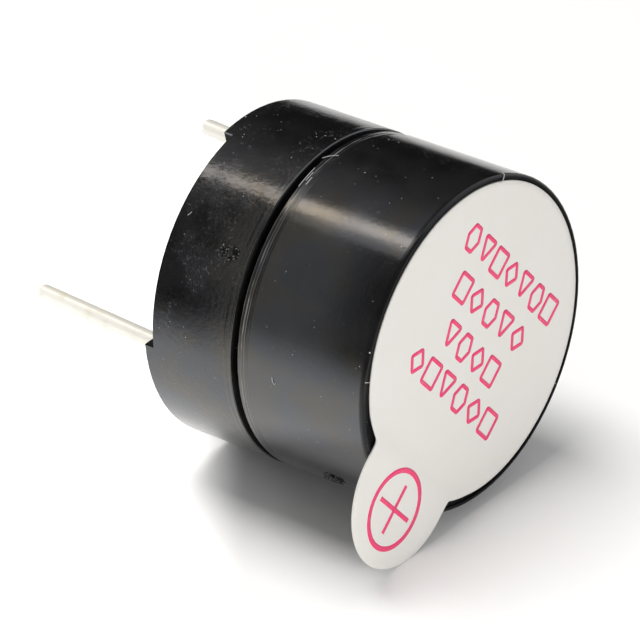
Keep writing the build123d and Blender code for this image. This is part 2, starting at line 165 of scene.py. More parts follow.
class CaseSettings(bpy.types.PropertyGroup):
    """Sizes and colours of the moulded case."""
    plastic: FloatVectorProperty(
        name="Plastic", description="Colour of the moulded case", subtype="COLOR",
        size=4, min=0, max=1, default=(0.006, 0.0059, 0.0064, 1))
    wear: FloatVectorProperty(
        name="Rubbed Plastic", description="Colour of the case where it is rubbed", subtype="COLOR",
        size=4, min=0, max=1, default=(0.02, 0.0195, 0.02, 1))
    # This colour also paints the highlights along the turned lines and the glints beside the seam.
    dust: FloatVectorProperty(
        name="Dust", description="Colour of the dust and flakes on the case", subtype="COLOR",
        size=4, min=0, max=1, default=(0.62, 0.62, 0.6, 1))
    gloss: FloatProperty(
        name="Roughness", description="Roughness of the polished sides", subtype="FACTOR",
        min=0, max=1, default=0.11)
    scar_width: FloatProperty(
        name="Gate Scar Width", description="Width of the torn gate on each shell", subtype="DISTANCE",
        unit="LENGTH", default=0.62 * MM)
    scar_height: FloatProperty(
        name="Gate Scar Height", description="Height of the torn gate on each shell", subtype="DISTANCE",
        unit="LENGTH", default=0.95 * MM)
    speck: FloatProperty(
        name="Speck Size", description="Largest width of a dust speck", subtype="DISTANCE",
        unit="LENGTH", default=0.05 * MM)
    seed: IntProperty(name="Dust Seed", description="Changes where the dust lies", default=4)


class LabelSettings(bpy.types.PropertyGroup):
    """Sizes and colours of the peel-off seal and its print."""
    film: FloatVectorProperty(
        name="Film", description="Colour of the seal", subtype="COLOR",
        size=4, min=0, max=1, default=(0.755, 0.738, 0.712, 1))
    ink: FloatVectorProperty(
        name="Ink", description="Colour of the print", subtype="COLOR",
        size=4, min=0, max=1, default=(0.83, 0.035, 0.16, 1))
    mark_height: FloatProperty(
        name="Mark Height", description="Height of one printed mark", subtype="DISTANCE",
        unit="LENGTH", default=1.02 * MM)
    row_stroke: FloatProperty(
        name="Row Stroke", description="Line width in the printed rows", subtype="DISTANCE",
        unit="LENGTH", default=0.15 * MM)
    ring_radius: FloatProperty(
        name="Ring Radius", description="Radius of the ring round the plus, to the middle of its line",
        subtype="DISTANCE", unit="LENGTH", default=1.385 * MM)
    ring_stroke: FloatProperty(
        name="Ring Stroke", description="Line width of the ring", subtype="DISTANCE",
        unit="LENGTH", default=0.19 * MM)
    ink_thickness: FloatProperty(
        name="Ink Thickness", description="How far the print stands on the film", subtype="DISTANCE",
        unit="LENGTH", default=0.006 * MM)


class MetalSettings(bpy.types.PropertyGroup):
    """Colours of the pins and of the wire in the coil."""
    tin: FloatVectorProperty(
        name="Tin", description="Colour of the plated pins", subtype="COLOR",
        size=4, min=0, max=1, default=(0.97, 0.95, 0.88, 1))
    enamel: FloatVectorProperty(
        name="Enamel", description="Colour of the lacquered wire", subtype="COLOR",
        size=4, min=0, max=1, default=(0.46, 0.12, 0.035, 1))
    wire: FloatProperty(
        name="Wire Diameter", description="Thickness of the coil's wire", subtype="DISTANCE",
        unit="LENGTH", default=0.12 * MM)


class StageSettings(bpy.types.PropertyGroup):
    """Floor, lamps and camera."""
    floor: FloatVectorProperty(
        name="Floor", description="Colour of the floor", subtype="COLOR",
        size=4, min=0, max=1, default=(0.97, 0.97, 0.97, 1))
    floor_drop: FloatProperty(
        name="Floor Distance", description="From the middle of the seat to the floor", subtype="DISTANCE",
        unit="LENGTH", default=5.995 * MM)
    daylight: FloatProperty(
        name="Room Light", description="Strength of the even light from all sides", default=0.3, min=0)
    strip: FloatProperty(
        name="Strip Lamp", description="Power of the narrow lamp that the sides reflect, in watts",
        default=0.0148, min=0)
    key: FloatProperty(
        name="Key Lamp", description="Power of the lamp that casts the shadow, in watts",
        default=0.285, min=0)
    fill: FloatProperty(
        name="Fill Lamp", description="Power of the lamp in front of the seal, in watts",
        default=0.0225, min=0)
    lens: FloatProperty(
        name="Focal Length", description="Lens of the camera on a 36 mm sensor, in millimetres",
        default=337.5, min=1)


# ---------------------------------------------------------------- node helpers

def add(tree, kind, values=None, links=None, **settings):
    """A new node with its settings, its fixed inputs and its links from other sockets."""
    made = tree.nodes.new(kind)
    for name, value in settings.items():
        setattr(made, name, value)
    for name, value in (values or {}).items():
        made.inputs[name].default_value = value
    for name, socket in (links or {}).items():
        tree.links.new(socket, made.inputs[name])
    return made


def maths(tree, operation, *terms):
    """Result socket of a Math node; each term is a number or a socket."""
    made = add(tree, "ShaderNodeMath", operation=operation)
    for index, term in enumerate(terms):
        if isinstance(term, (int, float)):
            made.inputs[index].default_value = term
        else:
            tree.links.new(term, made.inputs[index])
    return made.outputs[0]


def ramp(tree, value, low, high, start=0.0, end=1.0):
    """Smooth change from start to end while a value goes from low to high."""
    return add(
        tree, "ShaderNodeMapRange",
        {"From Min": low, "From Max": high, "To Min": start, "To Max": end},
        {"Value": value}, interpolation_type="SMOOTHSTEP").outputs[0]


def blend(tree, amount, first, second):
    """Colour between two; each is a colour or a socket."""
    made = add(tree, "ShaderNodeMix", data_type="RGBA")
    for name, colour in (("A", first), ("B", second)):
        socket = [one for one in made.inputs if one.name == name and one.type == "RGBA"][0]
        if isinstance(colour, bpy.types.NodeSocket):
            tree.links.new(colour, socket)
        else:
            socket.default_value = colour
    tree.links.new(amount, made.inputs[0])
    return [one for one in made.outputs if one.type == "RGBA"][0]


def new_finish(name, metallic=0.0, ior=1.5):
    """Material with one Principled shader; returns it, its tree and the shader."""
    material = bpy.data.materials.new(name)
    material.use_nodes = True
    shader = material.node_tree.nodes["Principled BSDF"]
    shader.inputs["Metallic"].default_value = metallic
    shader.inputs["IOR"].default_value = ior
    return material, material.node_tree, shader


def millimetres(tree, stretch=(1, 1, 1)):
    """Place on the object in millimetres, stretched along the axes."""
    place = add(tree, "ShaderNodeTexCoord").outputs["Object"]
    factor = [each / MM for each in stretch]
    scaled = add(tree, "ShaderNodeVectorMath", operation="MULTIPLY", links={0: place})
    scaled.inputs[1].default_value = factor
    return scaled.outputs[0]


def from_axis(tree, place):
    """Distance from the case axis in millimetres."""
    flat = add(tree, "ShaderNodeVectorMath", operation="MULTIPLY", links={0: place})
    flat.inputs[1].default_value = (1, 1, 0)
    return add(tree, "ShaderNodeVectorMath", operation="LENGTH", links={0: flat.outputs[0]}).outputs["Value"]


def layered(tree, distance, scale, detail):
    """Noise between 0 and 1 that changes only with one distance."""
    return add(
        tree, "ShaderNodeTexNoise", {"Scale": scale, "Detail": detail}, {"W": distance},
        noise_dimensions="1D").outputs["Fac"]


def cloudy(tree, place, scale, detail=3.0, roughness=0.55):
    """Noise between 0 and 1."""
    return add(
        tree, "ShaderNodeTexNoise",
        {"Scale": scale, "Detail": detail, "Roughness": roughness}, {"Vector": place}).outputs["Fac"]


def sparse(tree, place, scale, size, share):
    """Round spots of about one size in the given share of the cells of a random grid."""
    cells = add(tree, "ShaderNodeTexVoronoi", {"Scale": scale}, {"Vector": place})
    pick = add(tree, "ShaderNodeSeparateColor", links={0: cells.outputs["Color"]}).outputs[0]
    near = ramp(tree, cells.outputs["Distance"], size, size * 0.6)
    return maths(tree, "MULTIPLY", near, maths(tree, "LESS_THAN", pick, share))


def scratched(tree, place, scale, width):
    """Thin broken lines, 1 on a line and 0 beside it."""
    bent = add(tree, "ShaderNodeVectorMath", operation="ADD", links={0: place})
    drift = add(tree, "ShaderNodeTexNoise", {"Scale": scale * 1.7, "Detail": 1.0}, {"Vector": place})
    tree.links.new(drift.outputs["Color"], bent.inputs[1])
    edges = add(
        tree, "ShaderNodeTexVoronoi", {"Scale": scale}, {"Vector": bent.outputs[0]},
        feature="DISTANCE_TO_EDGE")
    line = ramp(tree, edges.outputs["Distance"], width, 0.0)
    broken = ramp(tree, cloudy(tree, place, scale * 0.9, 2.0), 0.56, 0.64)
    return maths(tree, "MULTIPLY", line, broken)


def raise_by(tree, shader, height, depth):
    """Bump of the shader by a height between 0 and 1, whose full height is depth in metres."""
    bump = add(tree, "ShaderNodeBump", {"Strength": 1.0, "Distance": depth}, {"Height": height})
    tree.links.new(bump.outputs[0], shader.inputs["Normal"])


def grained(name, dark, light, rough, scale=2.0, grain=30.0, depth=0.002, metallic=0.0):
    """Finish that drifts between two colours and two roughnesses and has a fine grain."""
    material, tree, shader = new_finish(name, metallic)
    place = millimetres(tree)
    patch = cloudy(tree, place, scale)
    tree.links.new(blend(tree, patch, dark, light), shader.inputs["Base Color"])
    fine = cloudy(tree, place, grain, 2.0)
    mixed = maths(tree, "MULTIPLY_ADD", fine, 0.35, maths(tree, "MULTIPLY", patch, 0.65))
    tree.links.new(ramp(tree, mixed, 0.3, 0.7, *rough), shader.inputs["Roughness"])
    raise_by(tree, shader, fine, depth * MM)
    return material


# ---------------------------------------------------------------- finishes

def black_moulding(name, settings, turned_band, skin):
    """Polished black plastic with faint flow, fine scratches and turned lines beside the seam, along which
    pale streaks paint highlights.

    turned_band gives the heights, in millimetres, between which the turned lines are strongest, and
    skin is how rough the moulded skin is, from 0 to 1.
    """
    material, tree, shader = new_finish(name, ior=1.8)
    place = millimetres(tree)
    height = add(tree, "ShaderNodeSeparateXYZ", links={0: place}).outputs[2]
    flow = cloudy(tree, place, 0.55, 2.0)
    peel = cloudy(tree, place, 5.5, 3.0, 0.6)
    grain = cloudy(tree, place, 34.0, 2.0)
    patches = ramp(tree, cloudy(tree, place, 0.8, 2.0), 0.4, 0.65)

    drift = maths(tree, "MULTIPLY_ADD", cloudy(tree, place, 0.5, 1.0), 0.12, height)
    turned = layered(tree, drift, 9.0, 2.0)
    low, high = turned_band
    inside = maths(
        tree, "MULTIPLY",
        ramp(tree, height, low - 0.03, low + 0.03), ramp(tree, height, high + 0.05, high - 0.05))

    marks = scratched(tree, millimetres(tree, (1.0, 1.0, 0.5)), 0.9, 0.012)
    crazed = add(
        tree, "ShaderNodeTexVoronoi", {"Scale": 8.0, "Randomness": 1.0},
        {"Vector": millimetres(tree, (1.0, 1.0, 1.6))}, feature="DISTANCE_TO_EDGE").outputs["Distance"]
    cracks = maths(tree, "MULTIPLY", ramp(tree, crazed, 0.0, 0.08), patches)
    pits = maths(tree, "MULTIPLY", ramp(tree, cloudy(tree, place, 7.0, 4.0, 0.7), 0.6, 0.7), patches)

    motes = maths(tree, "MULTIPLY", sparse(tree, place, 5.5, 0.13, 0.06 + 0.1 * skin), patches)
    spots = maths(tree, "MAXIMUM", sparse(tree, place, 2.6, 0.09, 0.035), motes)
    ridges = maths(tree, "MULTIPLY", ramp(tree, turned, 0.56, 0.68), inside)
    # Painted highlight: rubbed lays pale streaks of the dust colour along the turned ridges, in place of the
    # lamp's glints in the grooves.
    rubbed = maths(tree, "MULTIPLY", ridges, ramp(tree, flow, 0.46, 0.58, 0.03, 0.3 - 0.25 * skin))
    # pale holds the real dust spots and the painted ridge highlights.
    pale = maths(tree, "MAXIMUM", spots, rubbed)
    worn = maths(tree, "MULTIPLY_ADD", marks, 0.3, ramp(tree, flow, 0.35, 0.75, 0.0, 0.5))
    plastic = blend(tree, worn, settings.plastic[:], settings.wear[:])
    tree.links.new(blend(tree, pale, plastic, settings.dust[:]), shader.inputs["Base Color"])

    warmth = ramp(tree, cloudy(tree, place, 0.45, 3.0), 0.32, 0.58)
    tint = blend(tree, warmth, (1, 0.955, 0.85, 1), (0.87, 0.91, 1, 1))
    tree.links.new(tint, shader.inputs["Specular Tint"])
    within = ramp(tree, from_axis(tree, place), CASE_RADIUS - 0.05, CASE_RADIUS - 0.12)
    # Painted shade: the specular level drops over the top of the rim, so the rim reflects little and reads
    # dark; it also drops on the end faces.
    shine_with_dark_rim = ramp(tree, height, *DARK_RIM, 0.5 - 0.05 * skin, 0.14)
    shine_with_dark_rim = maths(tree, "MULTIPLY", shine_with_dark_rim, maths(tree, "MULTIPLY_ADD", within, -0.85, 1.0))
    tree.links.new(shine_with_dark_rim, shader.inputs["Specular IOR Level"])

    rough = maths(tree, "MULTIPLY_ADD", flow, 0.1, settings.gloss - 0.06)
    for cause, share in ((peel, 0.06 + 0.06 * skin), (marks, 0.1), (within, 0.45), (pale, 0.4)):
        rough = maths(tree, "MULTIPLY_ADD", cause, share, rough)
    tree.links.new(rough, shader.inputs["Roughness"])

    relief = maths(tree, "MULTIPLY", peel, 0.3 + 0.9 * skin)
    for cause, share in (
            (grain, 0.1), (pits, -0.1 - 1.4 * skin), (cracks, 0.02 + 0.2 * skin),
            (maths(tree, "MULTIPLY", turned, inside), 4.0 - 2.6 * skin), (turned, 0.08), (marks, -0.12),
            (pale, 0.5)):
        relief = maths(tree, "MULTIPLY_ADD", cause, share, relief)
    raise_by(tree, shader, relief, 0.006 * MM)
    return material


def torn_plastic():
    """Rough grey-black plastic with pale stressed flecks."""
    material, tree, shader = new_finish("torn_plastic")
    place = millimetres(tree)
    flecks = ramp(tree, cloudy(tree, place, 15.0, 3.0, 0.7), 0.57, 0.66)
    colour = blend(tree, flecks, (0.002, 0.002, 0.002, 1), (0.4, 0.4, 0.42, 1))
    tree.links.new(colour, shader.inputs["Base Color"])
    tree.links.new(ramp(tree, flecks, 0.0, 1.0, 0.4, 0.6), shader.inputs["Roughness"])
    shader.inputs["Specular IOR Level"].default_value = 0.25
    raise_by(tree, shader, cloudy(tree, place, 12.0, 4.0, 0.7), 0.06 * MM)
    return material


def seal_film(settings):
    """Warm white film, a little cloudy, with fine fibres and a few grey specks."""
    material, tree, shader = new_finish("seal_film", ior=1.45)
    place = millimetres(tree)
    cloud = cloudy(tree, place, 0.45, 3.0)
    fibre = cloudy(tree, millimetres(tree, (9.0, 2.2, 3.0)), 1.0, 4.0, 0.65)
    specks = sparse(tree, place, 1.15, 0.03, 0.3)
    warm = [settings.film[0] * 0.955, settings.film[1] * 0.945, settings.film[2] * 0.915, 1]
    colour = blend(tree, maths(tree, "MULTIPLY_ADD", fibre, 0.35, maths(tree, "MULTIPLY", cloud, 0.65)),
                   settings.film[:], warm)
    tree.links.new(blend(tree, specks, colour, (0.2, 0.19, 0.17, 1)), shader.inputs["Base Color"])
    tree.links.new(ramp(tree, fibre, 0.2, 0.8, 0.42, 0.58), shader.inputs["Roughness"])
    raise_by(tree, shader, maths(tree, "MULTIPLY_ADD", fibre, 0.6, cloud), 0.004 * MM)
    return material


def print_ink(settings):
    """Pink-red ink, thinner in places so that the film shows through."""
    material, tree, shader = new_finish("print_ink", ior=1.48)
    place = millimetres(tree)
    thin = ramp(tree, cloudy(tree, place, 3.2, 4.0, 0.65), 0.58, 0.95)
    pale = [0.5 * (one + other) for one, other in zip(settings.ink, settings.film)]
    tree.links.new(blend(tree, thin, settings.ink[:], pale), shader.inputs["Base Color"])
    tree.links.new(ramp(tree, thin, 0.0, 1.0, 0.36, 0.55), shader.inputs["Roughness"])
    raise_by(tree, shader, cloudy(tree, place, 14.0, 2.0), 0.002 * MM)
    return material


def plated_pin(settings):
    """Bright tin with long draw lines and a few dull patches."""
    material, tree, shader = new_finish("plated_pin", metallic=0.4)
    drawn = cloudy(tree, millimetres(tree, (11.0, 11.0, 0.5)), 1.0, 3.0)
    dull = cloudy(tree, millimetres(tree), 1.6, 4.0, 0.6)
    shade = [one * part for one, part in zip(settings.tin[:3], (0.9, 0.88, 0.78))] + [1]
    colour = blend(tree, ramp(tree, dull, 0.45, 0.8), settings.tin[:], shade)
    tree.links.new(colour, shader.inputs["Base Color"])
    rough = maths(tree, "MULTIPLY_ADD", drawn, 0.1, ramp(tree, dull, 0.35, 0.8, 0.3, 0.5))
    tree.links.new(rough, shader.inputs["Roughness"])
    raise_by(tree, shader, maths(tree, "MULTIPLY_ADD", dull, 0.5, drawn), 0.004 * MM)
    return material


def potting_resin():
    """Dark poured resin, glossy, with small bubbles and slow ripples."""
    material, tree, shader = new_finish("potting_resin", ior=1.55)
    place = millimetres(tree)
    ripple = cloudy(tree, place, 0.7, 2.0)
    bubbles = sparse(tree, place, 2.2, 0.22, 0.12)
    dusty = ramp(tree, cloudy(tree, place, 7.0, 3.0), 0.45, 0.9)
    colour = blend(tree, dusty, (0.012, 0.012, 0.013, 1), (0.045, 0.044, 0.042, 1))
    tree.links.new(colour, shader.inputs["Base Color"])
    tree.links.new(ramp(tree, dusty, 0.0, 1.0, 0.1, 0.32), shader.inputs["Roughness"])
    raise_by(tree, shader, maths(tree, "MULTIPLY_ADD", bubbles, -0.6, ripple), 0.05 * MM)
    return material


def board_laminate():
    """Green lacquer over a woven glass board, the weave just showing."""
    material, tree, shader = new_finish("board_laminate", ior=1.53)
    place = millimetres(tree)
    warp, weft = (
        add(tree, "ShaderNodeTexWave", {"Scale": 1.3, "Distortion": 0.6}, {"Vector": place},
            bands_direction=direction).outputs["Fac"]
        for direction in "XY")
    weave = maths(tree, "MULTIPLY", warp, weft)
    colour = blend(tree, weave, (0.012, 0.075, 0.03, 1), (0.03, 0.13, 0.055, 1))
    tree.links.new(colour, shader.inputs["Base Color"])
    tree.links.new(ramp(tree, cloudy(tree, place, 3.0), 0.3, 0.7, 0.2, 0.42), shader.inputs["Roughness"])
    raise_by(tree, shader, weave, 0.008 * MM)
    return material


def turned_steel(name, colour, rough):
    """Bright steel with fine rings from turning or pressing."""
    material, tree, shader = new_finish(name, metallic=1.0)
    place = millimetres(tree)
    rings = layered(tree, from_axis(tree, place), 26.0, 3.0)
    stain = ramp(tree, cloudy(tree, place, 0.9, 4.0), 0.45, 0.8)
    dark = [one * 0.72 for one in colour[:3]] + [1]
    tree.links.new(blend(tree, stain, colour, dark), shader.inputs["Base Color"])
    tree.links.new(maths(tree, "MULTIPLY_ADD", rings, 0.12, rough - 0.06), shader.inputs["Roughness"])
    raise_by(tree, shader, rings, 0.006 * MM)
    return material


def lacquered_wire(settings):
    """Copper wire under amber lacquer."""
    material, tree, shader = new_finish("lacquered_wire", metallic=0.85)
    place = millimetres(tree)
    thick = cloudy(tree, place, 1.8, 3.0)
    glow = [min(1.0, one * 1.5) for one in settings.enamel[:3]] + [1]
    tree.links.new(blend(tree, thick, settings.enamel[:], glow), shader.inputs["Base Color"])
    tree.links.new(ramp(tree, cloudy(tree, place, 12.0), 0.3, 0.7, 0.22, 0.38), shader.inputs["Roughness"])
    shader.inputs["Coat Weight"].default_value = 0.6
    shader.inputs["Coat Roughness"].default_value = 0.15
    raise_by(tree, shader, thick, 0.003 * MM)
    return material


# ---------------------------------------------------------------- mesh helpers

def put_on_case(mesh, name, material, slot, *nodes):
    """Makes a mesh a piece of the buzzer, in place of the named nodes if there are any."""
    piece = bpy.data.objects.new(name, mesh)
    bpy.context.scene.collection.objects.link(piece)
    if not mesh.materials:
        mesh.materials.append(material)
    for face in mesh.polygons:
        face.use_smooth = True
    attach(piece, "root")
    if nodes:
        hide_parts(*nodes)
    return piece


def mesh_from(name, points, faces=(), edges=()):
    """Mesh from points in millimetres."""
    mesh = bpy.data.meshes.new(name)
    mesh.from_pydata([Vector(point) * MM for point in points], edges, faces)
    mesh.update()
    return mesh


def dress(node, material):
    """Gives a node of the frame its finish."""
    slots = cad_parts[node].data.materials
    slots.clear()
    slots.append(material)


def on_side(angle, height, radius=CASE_RADIUS):
    """Point on the side of the case."""
    return Vector((radius * cos(angle), radius * sin(angle), height))


def on_label(along, across, height):
    """Point over the label; along runs from the case axis to the tab."""
    return LABEL_SHIFT + Vector((
        along * cos(LABEL_TURN) - across * sin(LABEL_TURN),
        along * sin(LABEL_TURN) + across * cos(LABEL_TURN),
        height,
    ))


def label_reach(angle):
    """Distance from the case axis to the edge of the label, at an angle from the tab."""
    angle = abs((angle + pi) % tau - pi)
    if angle < atan2(TAB_RADIUS, TAB_CENTRE):
        return TAB_CENTRE * cos(angle) + sqrt(TAB_RADIUS ** 2 - (TAB_CENTRE * sin(angle)) ** 2)
    if angle > SHOULDER_ANGLE:
        return LABEL_RADIUS
    inset = LABEL_RADIUS - SHOULDER_RADIUS
    slant = inset * cos(angle - SHOULDER_ANGLE)
    shoulder = slant + sqrt(SHOULDER_RADIUS ** 2 - inset ** 2 + slant ** 2)
    flank = TAB_RADIUS / sin(angle)
    overlap = max(SHOULDER_SOFTNESS - abs(shoulder - flank), 0.0) / SHOULDER_SOFTNESS
    return max(shoulder, flank) + overlap ** 2 * SHOULDER_SOFTNESS / 4


def label_underside(along, across):
    """Height of the label's underside: in the recess, up over the rim and slightly uneven."""
    start, end = TAB_RISE
    share = min(max((along - start) / (end - start), 0.0), 1.0)
    rise = (CASE_TOP - LABEL_SEAT) * share * share * (3 - 2 * share)
    uneven = 0.5 + 0.5 * noise.noise(Vector((along * 0.45, across * 0.45, 3.7)))
    return LABEL_SEAT + rise + LABEL_WAVE * uneven


def label_top(along, across):
    """Height of the label's printed side."""
    return label_underside(along, across) + LABEL_THICKNESS


# ---------------------------------------------------------------- Geometry Nodes

def new_geometry_tree(name, sizes):
    """Node group with a geometry, named sizes and a material as inputs."""
    tree = bpy.data.node_groups.new(name, "GeometryNodeTree")
    tree.interface.new_socket("Geometry", in_out="INPUT", socket_type="NodeSocketGeometry")
    for label, kind in sizes:
        tree.interface.new_socket(label, in_out="INPUT", socket_type=kind)
    tree.interface.new_socket("Finish", in_out="INPUT", socket_type="NodeSocketMaterial")
    tree.interface.new_socket("Geometry", in_out="OUTPUT", socket_type="NodeSocketGeometry")
    return tree, add(tree, "NodeGroupInput")


def close_geometry_tree(tree, entry, geometry):
    """Realizes the instances, sets the material and leads the result out."""
    whole = add(tree, "GeometryNodeRealizeInstances", links={"Geometry": geometry})
    painted = add(
        tree, "GeometryNodeSetMaterial",
        links={"Geometry": whole.outputs[0], "Material": entry.outputs["Finish"]})
    add(tree, "NodeGroupOutput", links={0: painted.outputs[0]})
    return tree


def print_tree():
    """Flat strokes of ink along the lines of a layout, with rounded corners."""
    tree, entry = new_geometry_tree("Printed Strokes", [
        ("Stroke Width", "NodeSocketFloat"), ("Ink Thickness", "NodeSocketFloat"),
        ("Corner Radius", "NodeSocketFloat")])
    lines = add(tree, "GeometryNodeMeshToCurve", links={"Mesh": entry.outputs["Geometry"]})
    upright = add(tree, "GeometryNodeSetCurveNormal", links={"Curve": lines.outputs[0]}, mode="Z_UP")
    eased = add(
        tree, "GeometryNodeFilletCurve", {"Count": 5},
        {"Curve": upright.outputs[0], "Radius": entry.outputs["Corner Radius"]}, mode="POLY")
    section = add(
        tree, "GeometryNodeCurvePrimitiveQuadrilateral",
        links={"Width": entry.outputs["Stroke Width"], "Height": entry.outputs["Ink Thickness"]})
    swept = add(
        tree, "GeometryNodeCurveToMesh", {"Fill Caps": True},
        {"Curve": eased.outputs[0], "Profile Curve": section.outputs[0]})
    return close_geometry_tree(tree, entry, swept.outputs[0])


def strand_tree():
    """Round wire or fibre along the lines of a layout."""
    tree, entry = new_geometry_tree("Wound Strand", [
        ("Strand Radius", "NodeSocketFloat"), ("Sides", "NodeSocketInt")])
    lines = add(tree, "GeometryNodeMeshToCurve", links={"Mesh": entry.outputs["Geometry"]})
    section = add(
        tree, "GeometryNodeCurvePrimitiveCircle",
        links={"Resolution": entry.outputs["Sides"], "Radius": entry.outputs["Strand Radius"]})
    swept = add(
        tree, "GeometryNodeCurveToMesh", {"Fill Caps": True},
        {"Curve": lines.outputs[0], "Profile Curve": section.outputs[0]})
    return close_geometry_tree(tree, entry, swept.outputs[0])


def dust_tree():
    """Small uneven specks strewn over a surface."""
    tree, entry = new_geometry_tree("Strewn Dust", [
        ("Density", "NodeSocketFloat"), ("Speck Size", "NodeSocketFloat"), ("Seed", "NodeSocketInt")])
    strewn = add(
        tree, "GeometryNodeDistributePointsOnFaces",
        links={"Mesh": entry.outputs["Geometry"], "Density": entry.outputs["Density"],
               "Seed": entry.outputs["Seed"]})
    speck = add(tree, "GeometryNodeMeshIcoSphere", {"Radius": 0.5, "Subdivisions": 1})
    uneven = add(tree, "FunctionNodeRandomValue", {"ID": 0}, {"Seed": entry.outputs["Seed"]},
                 data_type="FLOAT_VECTOR")
    for socket, value in zip(uneven.inputs[:2], ((0.15, 0.15, 0.1), (1.0, 0.6, 0.25))):
        socket.default_value = value
    size = add(tree, "ShaderNodeVectorMath", operation="SCALE", links={0: uneven.outputs[0]})
    tree.links.new(entry.outputs["Speck Size"], size.inputs["Scale"])
    turn = add(
        tree, "FunctionNodeRandomValue", links={"Seed": entry.outputs["Seed"]}, data_type="FLOAT_VECTOR")
    for socket, value in zip(turn.inputs[:2], ((0, 0, 0), (0, 0, tau))):
        socket.default_value = value
    spun = add(
        tree, "FunctionNodeRotateRotation", links={0: strewn.outputs["Rotation"], 1: turn.outputs[0]},
        rotation_space="LOCAL")
    placed = add(
        tree, "GeometryNodeInstanceOnPoints",
        links={"Points": strewn.outputs["Points"], "Instance": speck.outputs["Mesh"],
               "Rotation": spun.outputs[0], "Scale": size.outputs[0]})
    return close_geometry_tree(tree, entry, placed.outputs[0])


def grow(tree, mesh, inputs, name):
    """Runs a tree on a mesh and returns the result as a plain mesh."""
    carrier = bpy.data.objects.new(name, mesh)
    bpy.context.scene.collection.objects.link(carrier)
    modifier = carrier.modifiers.new(tree.name, "NODES")
    modifier.node_group = tree
    sockets = {item.name: item.identifier for item in tree.interface.items_tree if item.in_out == "INPUT"}
    for label, value in inputs.items():
        modifier[sockets[label]] = value
    depsgraph = bpy.context.evaluated_depsgraph_get()
    grown = bpy.data.meshes.new_from_object(carrier.evaluated_get(depsgraph))
    grown.name = name
    carrier.modifiers.remove(modifier)
    bpy.data.objects.remove(carrier)
    bpy.data.meshes.remove(mesh)
    if not grown.polygons:
        raise RuntimeError(f"{name} came out empty")
    return grown


# ---------------------------------------------------------------- layouts

def closed_loop(count, start):
    """Edges that join count points, from index start, into a ring."""
    return [(start + step, start + (step + 1) % count) for step in range(count)]


def regular(corners, turn):
    """Corners of a regular shape in a box of side 1."""
    raw = [(cos(turn + tau * step / corners), sin(turn + tau * step / corners)) for step in range(corners)]
    left, right = min(x for x, _ in raw), max(x for x, _ in raw)
    foot, head = min(y for _, y in raw), max(y for _, y in raw)
    return [((x - left) / (right - left) - 0.5, (y - foot) / (head - foot) - 0.5) for x, y in raw]


MARK_SHAPES = [regular(4, 0), regular(3, pi / 2), regular(4, pi / 4), regular(6, 0)]


def row_layout(height):
    """Outlines of all printed marks, on the film."""
    points, edges = [], []
    for along, shift, length, shapes in MARK_ROWS:
        pitch = length / len(shapes)
        for place, shape in enumerate(shapes):
            middle = shift + (place + 0.5) * pitch - length / 2
            corners = MARK_SHAPES[shape]
            edges += closed_loop(len(corners), len(points))
            for x, y in corners:
                across = middle + x * pitch * MARK_SHARE_OF_PITCH
                outward = along + y * height
                points.append(on_label(outward, across, label_top(outward, across)))
    return mesh_from("row_layout", points, edges=edges)


def ring_layout(radius, count=96):
    """Circle round the plus, on the tab."""
    points = []
    for step in range(count):
        angle = tau * step / count
        along, across = RING_PLACE[0] + radius * cos(angle), RING_PLACE[1] + radius * sin(angle)
        points.append(on_label(along, across, label_top(along, across)))
    return mesh_from("ring_layout", points, edges=closed_loop(count, 0))


def plus_layout(along_length, across_length):
    """Two crossed strokes in the ring."""
    points, edges = [], []
    for reach, step in ((along_length / 2, (1, 0)), (across_length / 2, (0, 1))):
        start = len(points)
        for share in (-1, -0.5, 0, 0.5, 1):
            along = RING_PLACE[0] + step[0] * share * reach
            across = RING_PLACE[1] + step[1] * share * reach
            points.append(on_label(along, across, label_top(along, across)))
        edges += [(start + index, start + index + 1) for index in range(4)]
    return mesh_from("plus_layout", points, edges=edges)


def coil_layout(wire, count=72):
    """Turns of the winding: the outer layer and the two ends."""
    gap = wire / 2
    turns = []
    rows = int((COIL_TOP - COIL_FOOT) / wire)
    rings = int((COIL_RADIUS - COIL_BORE) / wire)
    for row in range(rows):
        turns.append((COIL_RADIUS - gap, COIL_FOOT + gap + row * (COIL_TOP - COIL_FOOT - wire) / (rows - 1)))
    for ring in range(rings - 1):
        radius = COIL_BORE + gap + ring * (COIL_RADIUS - COIL_BORE - wire) / (rings - 1)
        turns += [(radius, COIL_FOOT + gap), (radius, COIL_TOP - gap)]
    points, edges = [], []
    for radius, height in turns:
        edges += closed_loop(count, len(points))
        points += [on_side(tau * step / count, height, radius) for step in range(count)]
    return mesh_from("coil_layout", points, edges=edges)


def side_band(low, high, count=180):
    """Open cylinder on the side of the case, for strewing dust."""
    points = [on_side(tau * step / count, height) for height in (low, high) for step in range(count)]
    faces = [(step, (step + 1) % count, count + (step + 1) % count, count + step) for step in range(count)]
    return mesh_from("side_band", points, faces)


def fibre_and_glint_layout():
    """Open lines of the clinging fibres, the short grains and the pale strands beside the seam that paint
    glints.
    """
    routes = [[on_side(radians(angle), *place) for angle, *place in fibre] for fibre in FIBRES]
    for angle, height in GRAINS:
        routes.append([on_side(radians(angle), height, CASE_RADIUS),
                       on_side(radians(angle + 0.25), height + 0.01, CASE_RADIUS + 0.005)])
    for first, last, height in SEAM_GLINTS:
        routes.append([on_side(radians(first + (last - first) * step / 8), height, CASE_RADIUS + 0.001)
                       for step in range(9)])
    points, edges = [], []
    for route in routes:
        start = len(points)
        points += route
        edges += [(start + index, start + index + 1) for index in range(len(route) - 1)]
    return mesh_from("fibre_and_glint_layout", points, edges=edges)


# ---------------------------------------------------------------- pieces

def rings_joined(rings, count):
    """Faces between neighbouring rings of count points each."""
    faces = []
    for ring in range(rings - 1):
        inner, outer = ring * count, (ring + 1) * count
        for step in range(count):
            after = (step + 1) % count
            faces.append((inner + step, outer + step, outer + after, inner + after))
    return faces


